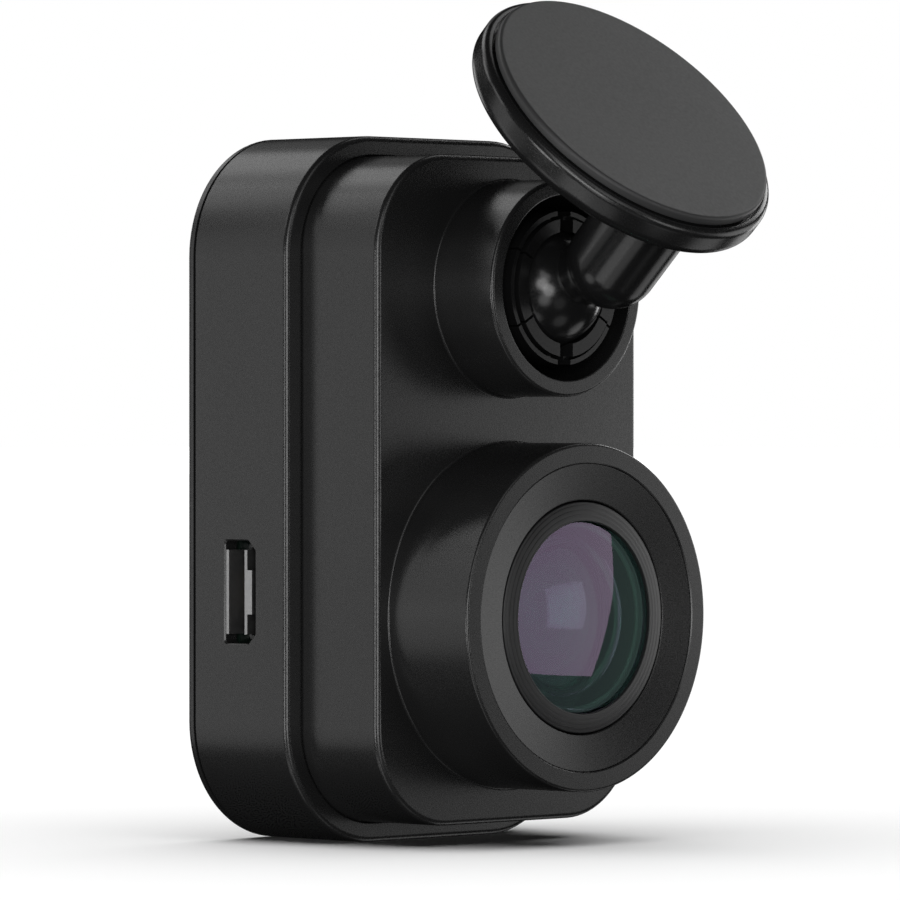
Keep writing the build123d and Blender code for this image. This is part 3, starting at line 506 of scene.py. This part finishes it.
# ------------------------------------------------------------------ casings
def make_front_housing():
    """Front shell, lens tube and ball-socket boss, as one moulding."""
    rear = front_high.y
    size = dict(corner=FRONT_CORNER, width=WIDTH - 2 * INSET, height=HEIGHT - 2 * INSET)
    relief = LEDGE + LEDGE_RELIEF
    outline = [(0.0, rear), (0.0, relief), (LEDGE_RELIEF_DEPTH, relief),
               (LEDGE_RELIEF_DEPTH, LEDGE), (0.0, LEDGE), (0.0, FRONT_FACE), (4.0, FRONT_FACE)]
    skin = round_corners(outline, [0, 0, 0, 0, 0.06, EDGE, 0], steps=8, closed=False)
    shell = swept_case("shell", skin, closed=False, **size)
    inner_y = FRONT_FACE + FRONT_WALL
    cavity = swept_case("cavity", [(FRONT_WALL, rear + 1), (FRONT_WALL, inner_y)],
                        closed=False, **size)
    shelf = bezel_high.y

    def tube(radius, rim, edge):
        """Round tube standing on the front face, flared at its foot."""
        return round_corners(
            [(inner_y, 0), (inner_y, radius + FLARE), (FRONT_FACE, radius + FLARE),
             (FRONT_FACE, radius), (rim, radius), (rim, 0)],
            [0, 0, 0, FLARE * FLARE_ROUND, edge, 0], closed=False)

    barrel = tube(BARREL_RADIUS, RIM, 0.24)
    boss = tube(BOSS_RADIUS, BOSS_RIM, 0.28)
    bore = [(inner_y + 1, 0), (inner_y + 1, BOSS_BORE), (BOSS_RIM + BOSS_LIP, BOSS_BORE),
            (BOSS_RIM + BOSS_LIP_STEP, BOSS_BORE + BOSS_LIP_STEP),
            (BOSS_RIM, BOSS_BORE + BOSS_LIP), (BOSS_RIM - 1, BOSS_BORE + BOSS_LIP),
            (BOSS_RIM - 1, 0)]
    lip = BEZEL_RADIUS + TUNNEL_LIP
    step = shelf + TUNNEL_SHELF
    tunnel = [(inner_y + 1, 0), (inner_y + 1, TUNNEL_RADIUS), (step, TUNNEL_RADIUS),
              (step, BEZEL_BORE), (shelf, BEZEL_BORE), (shelf, BEZEL_RADIUS),
              (RIM + TUNNEL_LIP, BEZEL_RADIUS), (RIM, lip), (RIM - 1, lip), (RIM - 1, 0)]
    mesh = combine(
        "front_housing_skin",
        shell,
        [
            (turned("barrel", barrel, LENS_Z, closed=False), "UNION"),
            (turned("boss", boss, BALL_Z, closed=False), "UNION"),
            (cavity, "DIFFERENCE"),
            (turned("tunnel", tunnel, LENS_Z, closed=False), "DIFFERENCE"),
            (turned("bore", bore, BALL_Z, closed=False), "DIFFERENCE"),
        ],
    )
    obj = new_object("front_housing_skin", mesh, 32)
    place(obj, "camera", shell_plastic, "shell_plastic", "front_housing")


def make_rear_housing():
    """Rear shell ring with the shadow seam, the power socket window and the card slot."""
    rear = case_high.y
    gap = INSET - 0.1
    rib = REAR_WALL + RIB_INSET
    outline = [(0.0, rear - SEAM), (0.0, LEDGE), (gap, LEDGE), (gap, LEDGE + RIB_START),
               (rib, LEDGE + RIB_START), (rib, LEDGE + RIB_END), (REAR_WALL, LEDGE + RIB_END),
               (REAR_WALL, rear), (SEAM_INSET, rear), (SEAM_INSET, rear - SEAM)]
    ring = swept_case("ring", round_corners(outline, [0.08, EDGE, 0.1] + [0] * 7, steps=8))
    shell_low, shell_high = node_box("power_socket_shell")
    usb_z = (shell_low.z + shell_high.z) / 2
    side = WIDTH / 2

    def window(grow):
        half = WINDOW_HALF + grow
        bevelled = WINDOW_HALF - WINDOW_BEVEL + grow * 0.4
        upper = [(WINDOW_BACK + grow, half), (WINDOW_FRONT + WINDOW_BEVEL - grow * 0.4, half),
                 (WINDOW_FRONT - grow, bevelled)]
        outline = upper + [(y, -z) for y, z in reversed(upper)]
        return round_corners([(y, usb_z + z) for y, z in outline],
                             [0.35, 0.25, 0.25, 0.25, 0.25, 0.35], steps=5)

    cut = prism_x("cut", [(-side - 1, window(0.1)), (-side, window(0.1)),
                          (-side + 0.1, window(0)), (-side + 2.0, window(0))])
    card_low, card_high = node_box("memory_card")
    card_z = (card_low.z + card_high.z) / 2

    def slit(grow):
        half_y, half_z = (half + grow for half in CARD_SLIT_HALF)
        corners = [(CARD_SLIT_Y + a * half_y, card_z + b * half_z)
                   for a, b in ((1, -1), (1, 1), (-1, 1), (-1, -1))]
        return round_corners(corners, [CARD_SLIT_ROUND] * 4, steps=5)

    slot = prism_x("slot", [(side + 1, slit(0.08)), (side - 0.25, slit(0.08)),
                            (side - 0.4, slit(0)), (side - 2.0, slit(0))])
    scoop_x = side + SCOOP_RADIUS - SCOOP_DEPTH
    scoop = turned("scoop", [(-SCOOP_HALF, 0), (-SCOOP_HALF, SCOOP_RADIUS),
                             (SCOOP_HALF, SCOOP_RADIUS), (SCOOP_HALF, 0)], closed=False,
                   place=Matrix.Translation((scoop_x, CARD_SLIT_Y, card_z))
                   @ Matrix.Rotation(math.pi / 2, 4, "X"))
    mesh = combine("rear_housing_skin", ring,
                   [(cut, "DIFFERENCE"), (slot, "DIFFERENCE"), (scoop, "DIFFERENCE")])
    obj = new_object("rear_housing_skin", mesh, 32)
    place(obj, "camera", shell_plastic, "shell_plastic", "rear_housing")


def make_lens_rings():
    """Dished bezel and the sloping ring that holds the glass."""
    face = bezel_low.y
    rear = bezel_high.y
    edge = (bezel_high.x - bezel_low.x) / 2
    cone = round_corners([(face, edge), (face + BEZEL_DIP, BEZEL_BORE), (rear, BEZEL_BORE),
                          (rear, edge)], [0.05, 0.1, 0, 0])
    obj = new_object("lens_bezel_cone", turned("lens_bezel_cone", cone, LENS_Z))
    place(obj, "camera", bezel_plastic, "bezel_plastic", "lens_bezel")
    front = ring_low.y
    rear = ring_high.y
    seat = GLASS_RADIUS + GLASS_SEAT
    ring = round_corners(
        [(RING_LIP, GLASS_RADIUS), (RING_LIP, seat), (rear, seat), (rear, RING_RADIUS),
         (RING_OUTER, RING_RADIUS), (front, GLASS_RADIUS)], [0, 0, 0, 0, 0.08, 0.06])
    obj = new_object("lens_ring_turned", turned("lens_ring_turned", ring, LENS_Z))
    place(obj, "camera", lens_black, "lens_black", "lens_retaining_ring")


def sag(radius, sphere):
    """Height of a spherical cap of the given rim radius."""
    return sphere - math.sqrt(sphere * sphere - radius * radius)


def make_glass(node, dome, hollow, material):
    """Lens element, domed at the front and hollow at the rear, ground and polished."""
    low, high = node_box(node)
    rim = (high.x - low.x) / 2
    hollow_rim = rim * HOLLOW_SHARE

    def cap(apex, edge, sphere):
        """Arc of (along, radius) from the axis out to the edge."""
        radii = [edge * k / GLASS_STEPS for k in range(GLASS_STEPS + 1)]
        return [(apex + sag(radius, sphere), radius) for radius in radii]

    front = cap(low.y, rim, dome)
    rear = cap(high.y - sag(hollow_rim, hollow), hollow_rim, hollow)
    outline = front + [(high.y, rim)] + rear[::-1]
    name = node + "_polished"
    obj = new_object(name, turned(name, outline, LENS_Z, closed=False))
    place(obj, "camera", material, "optical_glass", node)
    return obj


# ------------------------------------------------------------------ windscreen mount
MOUNT_NORMAL = Vector((0, -math.cos(TILT), math.sin(TILT)))
MOUNT_UP = Vector((0, math.sin(TILT), math.cos(TILT)))


def placing(origin, x_axis, y_axis, z_axis):
    """Matrix that puts the local axes along the given ones, at the origin given."""
    return Matrix.Translation(origin) @ Matrix((x_axis, y_axis, z_axis)).transposed().to_4x4()


def mount_matrix(depth, along=0.0):
    """Placing matrix whose local y runs along the mount's normal, at depth behind the pad."""
    origin = PAD_CENTRE - MOUNT_NORMAL * depth + MOUNT_UP * along
    return placing(origin, MOUNT_NORMAL.cross(MOUNT_UP), MOUNT_NORMAL, MOUNT_UP)


def make_mount():
    """Round plate with a groove round its adhesive pad."""
    groove_floor = PLATE_THICK - PLATE_GROOVE_DEPTH
    rim_top = PLATE_THICK - PLATE_RIM_DROP
    plate = round_corners(
        [(0, 0), (0, PLATE_RADIUS), (rim_top, PLATE_RADIUS),
         (rim_top, PLATE_GROOVE_OUTER), (groove_floor, PLATE_GROOVE_OUTER),
         (groove_floor, PLATE_GROOVE_INNER), (PLATE_THICK, PLATE_GROOVE_INNER),
         (PLATE_THICK, 0)],
        [0, 1.1, 0.61, 0.04, 0, 0, 0, 0], steps=12, closed=False)
    mesh = turned("mount_plate_disc", plate, place=mount_matrix(PAD_THICK + PLATE_THICK),
                  closed=False)
    obj = new_object("mount_plate_disc", mesh)
    place(obj, "mount", plate_plastic, "plate_plastic", "mount_plate", "mount_screw")
    pad = round_corners(
        [(0, 0), (0, PAD_RADIUS), (PAD_THICK, PAD_RADIUS), (PAD_THICK, 0)],
        [0, 0.05, 0.3, 0], steps=8, closed=False)
    mesh = turned("adhesive_pad_disc", pad, place=mount_matrix(PAD_THICK), closed=False)
    obj = new_object("adhesive_pad_disc", mesh)
    place(obj, "mount", pad_film, "adhesive", "adhesive_pad")


def make_stud():
    """Ball, tapered neck, round elbow and post, as one moulding."""
    ball_centre = Vector((0, BALL_Y, BALL_Z))
    run = POST_END - ball_centre
    along = run.normalized()
    side = Vector((1, 0, 0))
    at_neck = placing(ball_centre, side, along, side.cross(along))

    def ball(name, radius, centre):
        turns = [math.pi * k / BALL_STEPS for k in range(BALL_STEPS + 1)]
        arc = [(-radius * math.cos(turn), radius * math.sin(turn)) for turn in turns]
        arc[0] = (-radius, 0)
        arc[-1] = (radius, 0)
        return turned(name, arc, segments=192, place=Matrix.Translation(centre), closed=False)

    start = NECK_START - NECK_SUNK
    grow = (NECK_LARGE - NECK_SMALL) / (run.length - NECK_START)
    neck = [(start, 0), (start, NECK_SMALL - NECK_SUNK * grow), (run.length, NECK_LARGE),
            (run.length, 0)]
    depth = PAD_THICK + PLATE_THICK
    reach = (PAD_CENTRE - POST_END).dot(MOUNT_NORMAL) - depth
    offset = -(PAD_CENTRE - POST_END).dot(MOUNT_UP)
    post = [(-reach, 0), (-reach, POST_RADIUS), (POST_SUNK, POST_RADIUS), (POST_SUNK, 0)]
    mesh = combine("ball_stud_moulding", ball("ball", BALL_RADIUS, ball_centre), [
        (turned("neck", neck, segments=192, place=at_neck, closed=False), "UNION"),
        (ball("elbow", POST_RADIUS - 0.001, POST_END), "UNION"),
        (turned("post", post, segments=192, place=mount_matrix(depth, offset),
                closed=False), "UNION"),
    ])
    obj = new_object("ball_stud_moulding", mesh, 40)
    place(obj, "mount", stud_plastic, "stud_plastic", "ball_stud")


make_front_housing()
make_rear_housing()
make_lens_rings()
lenses = [make_glass("front_lens", GLASS_DOME, GLASS_HOLLOW, front_glass),
          make_glass("second_lens", SECOND_DOME, SECOND_HOLLOW, inner_glass),
          make_glass("rear_lens", REAR_DOME, REAR_HOLLOW, rear_glass)]
make_mount()
make_stud()

# ------------------------------------------------------------------ CAD nodes that show as they are
finishes = {
    "rear_cover": shell_plastic, "save_button": button_plastic, "menu_button": button_plastic,
    "infrared_filter": filter_glass, "lens_barrel": lens_black, "lens_spacer": lens_black,
    "aperture_stop": lens_black, "lens_holder": dark_plastic, "card_socket": dark_plastic,
    "power_socket_tongue": dark_plastic, "microphone_gasket": dark_plastic,
    "ball_collet": collet_plastic, "ball_cup": collet_plastic, "friction_liner": acetal,
    "disc_spring": plated, "socket_plate": zinc,
    "housing_screws": zinc, "board_screws": zinc, "camera_screws": zinc, "socket_screws": zinc,
    "mount_screw": zinc, "power_socket_shell": socket_metal, "power_socket_contacts": gold,
    "shield_can": plated, "main_board": laminate, "sensor_board": laminate,
    "processor_chip": epoxy, "wireless_antenna": epoxy, "save_switch": epoxy,
    "menu_switch": epoxy, "speaker": epoxy, "microphone": epoxy, "image_sensor": sensor_cover,
    "sensor_flex": film, "backup_battery": foil, "battery_foam": dark_plastic,
    "light_guides": acrylic, "indicator_lamps": acrylic, "memory_card": dark_plastic,
}
for node, material in finishes.items():
    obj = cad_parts[node]
    obj.data.materials.clear()
    obj.data.materials.append(material)
    shade(obj, 32)


# ------------------------------------------------------------------ floor, light and camera
LAMP_AIM = (0, -0.008, 0.027)
LAMP_DISTANCE = 1.2
LAMP_RADIUS = 0.23
FLOOR_LIGHT = 5.1
FLOOR_SPREAD = 105
PANEL_AZIMUTH = 35.0
PANEL_DISTANCE = 1.5
PANEL_LIGHT = 1.40
ROOM_RADIUS = 3.0
ROOM_LIGHT = 0.9
ROOM_COLOUR = (0.24, 0.45, 0.31, 1)
# outline of the panel, across and up, in shares of its distance
PANEL = [(-0.60, -0.20), (0.268, -0.188), (0.374, 0.03), (0.406, 0.181), (0.43, 0.5),
         (-0.60, 0.5)]
# azimuth and elevation in degrees, and strength, the strongest first
SOFTBOXES = [
    (-91, -7, 5.8),
    (-50, 8, 4.6),
    (-38, -4, 4.5),
    (95, 28, 4.1),
    (14, -1, 2.6),
    (99, -3, 2.3),
    (-43, 27, 1.85),
    (-160, 34, 1.75),
    (-128, 29, 1.7),
    (-46, -23, 1.7),
    (-10, 22, 1.6),
    (172, 7, 1.5),
    (-86, -40, 1.4),
    (167, 40, 1.4),
    (-118, -34, 1.1),
    (-173, 50, 1.05),
    (-143, -9, 1.05),
    (102, 52, 0.95),
    (-135, 9, 0.9),
    (-73, -57, 0.8),
    (112, -15, 0.8),
    (84, -44, 0.8),
    (-3, 44, 0.75),
    (10, 30, 0.65),
    (12, -60, 0.45),
    (-123, -2, 0.45),
    (47, -6, 0.45),
    (-13, -28, 0.3),
    (147, 31, 0.2),
]
NEAR_DISTANCE = 0.18
NEAR_RADIUS = 0.051
NEAR_LAMPS = [(62, 1, 1.35)]


def make_floor():
    """Pale floor. It shows to the camera and takes shadows, but isn't seen in the gloss."""
    bpy.ops.mesh.primitive_plane_add(size=8.0, location=(0, 0, 0))
    floor = bpy.context.object
    floor.name = "floor"
    material = bpy.data.materials.new("floor_white")
    material.use_nodes = True
    shader = material.node_tree.nodes["Principled BSDF"]
    shader.inputs["Base Color"].default_value = (0.92, 0.92, 0.92, 1)
    shader.inputs["Roughness"].default_value = 0.9
    shader.inputs["Specular IOR Level"].default_value = 0.0
    floor.data.materials.append(material)
    floor.visible_glossy = False
    floor.visible_diffuse = False
    floor.visible_transmission = False
    floor.visible_shadow = False
    return floor


def make_backdrop():
    """White surroundings that only the camera sees."""
    world = bpy.data.worlds.new("studio")
    bpy.context.scene.world = world
    world.use_nodes = True
    tree = world.node_tree
    white = tree.nodes["Background"]
    white.inputs["Color"].default_value = (1, 1, 1, 1)
    rays = tree.nodes.new("ShaderNodeLightPath")
    tree.links.new(rays.outputs["Is Camera Ray"], white.inputs["Strength"])


def link_lamp(lamp, things, lit):
    """The lamp lights the things alone (lit), or everything but them."""
    group = bpy.data.collections.new(lamp.name + "_lights")
    for thing in things:
        group.objects.link(thing)
    lamp.light_linking.receiver_collection = group
    for member in group.collection_objects:
        member.light_linking.link_state = "INCLUDE" if lit else "EXCLUDE"


def lamp_at(data, azimuth, elevation, distance):
    """Lamp facing the camera body, azimuth counted from the lens side towards +X."""
    a, e = math.radians(azimuth), math.radians(elevation)
    way = Vector((math.sin(a) * math.cos(e), -math.cos(a) * math.cos(e), math.sin(e)))
    lamp = bpy.data.objects.new(data.name, data)
    bpy.context.collection.objects.link(lamp)
    lamp.location = Vector(LAMP_AIM) + way * distance
    lamp.rotation_mode = "QUATERNION"
    lamp.rotation_quaternion = way.to_track_quat("Z", "Y")
    lamp.visible_camera = False
    return lamp


def make_lamps(floor, glass):
    """Round softboxes on a sphere about the object, and a wide overhead lamp for the floor."""
    for name, lamps, distance, radius in (("softbox", SOFTBOXES, LAMP_DISTANCE, LAMP_RADIUS),
                                          ("near", NEAR_LAMPS, NEAR_DISTANCE, NEAR_RADIUS)):
        for i, (azimuth, elevation, strength) in enumerate(lamps):
            data = bpy.data.lights.new(f"{name}_{i:02d}", "AREA")
            data.shape = "DISK"
            data.size = 2 * radius
            data.energy = strength * (math.pi * radius) ** 2
            link_lamp(lamp_at(data, azimuth, elevation, distance), [floor, *glass], False)
    data = bpy.data.lights.new("overhead", "SUN")
    data.energy = FLOOR_LIGHT
    data.angle = math.radians(FLOOR_SPREAD)
    link_lamp(lamp_at(data, 0, 90, LAMP_DISTANCE), [floor], True)


def glowing(name, strength, colour):
    """Even light of the given strength and colour."""
    material = bpy.data.materials.new(name)
    material.use_nodes = True
    tree = material.node_tree
    tree.nodes.clear()
    glow = tree.nodes.new("ShaderNodeEmission")
    glow.inputs["Color"].default_value = colour
    glow.inputs["Strength"].default_value = strength
    tree.links.new(glow.outputs[0], tree.nodes.new("ShaderNodeOutputMaterial").inputs[0])
    material.cycles.emission_sampling = "NONE"
    return material


def make_reflected(name, mesh, strength, colour, glass):
    """Lit surface that only the lens elements reflect."""
    mesh.materials.append(glowing(name + "_light", strength, colour))
    obj = bpy.data.objects.new(name, mesh)
    bpy.context.collection.objects.link(obj)
    obj.visible_camera = False
    obj.visible_shadow = False
    link_lamp(obj, glass, True)


def make_panel(glass):
    """Large softbox to the right of the lens, and the dim room behind it."""
    a = math.radians(PANEL_AZIMUTH)
    out = Vector((math.sin(a), -math.cos(a), 0))
    right = Vector((math.cos(a), math.sin(a), 0))
    lens = Vector((0, RIM * MM, LENS_Z * MM))
    centre = lens + out * PANEL_DISTANCE
    panel = bpy.data.meshes.new("panel")
    corners = [centre + (right * x + Vector((0, 0, z))) * PANEL_DISTANCE for x, z in PANEL]
    panel.from_pydata([tuple(c) for c in corners], [], [tuple(range(len(corners)))])
    make_reflected("panel", panel, PANEL_LIGHT, (1, 1, 1, 1), glass)
    room = bpy.data.meshes.new("room")
    shape = bmesh.new()
    bmesh.ops.create_icosphere(shape, subdivisions=3, radius=ROOM_RADIUS)
    shape.to_mesh(room)
    shape.free()
    make_reflected("room", room, ROOM_LIGHT, ROOM_COLOUR, glass)


def make_camera():
    """Long lens, level with the case, 46 degrees round to its left."""
    azimuth = math.radians(-45.98)
    elevation = math.radians(0.332)
    distance, across, above = 532.1, 8.936, 2.872
    back = Vector((math.sin(azimuth) * math.cos(elevation),
                   -math.cos(azimuth) * math.cos(elevation), math.sin(elevation)))
    right = Vector((math.cos(azimuth), math.sin(azimuth), 0))
    up = back.cross(right)
    middle = Vector((0, BACK, CENTRE_Z))
    spot = middle + back * distance + right * across + up * above
    data = bpy.data.cameras.new("camera")
    data.sensor_width = 36.0
    data.lens = 276.6
    data.clip_start = 0.01
    data.clip_end = 50.0
    cam = bpy.data.objects.new("view_camera", data)
    bpy.context.collection.objects.link(cam)
    cam.matrix_world = placing(spot * MM, right, up, back)
    bpy.context.scene.camera = cam


bpy.context.scene.view_settings.view_transform = "Standard"
studio_floor = make_floor()
make_backdrop()
make_camera()
make_lamps(studio_floor, lenses)
make_panel(lenses)
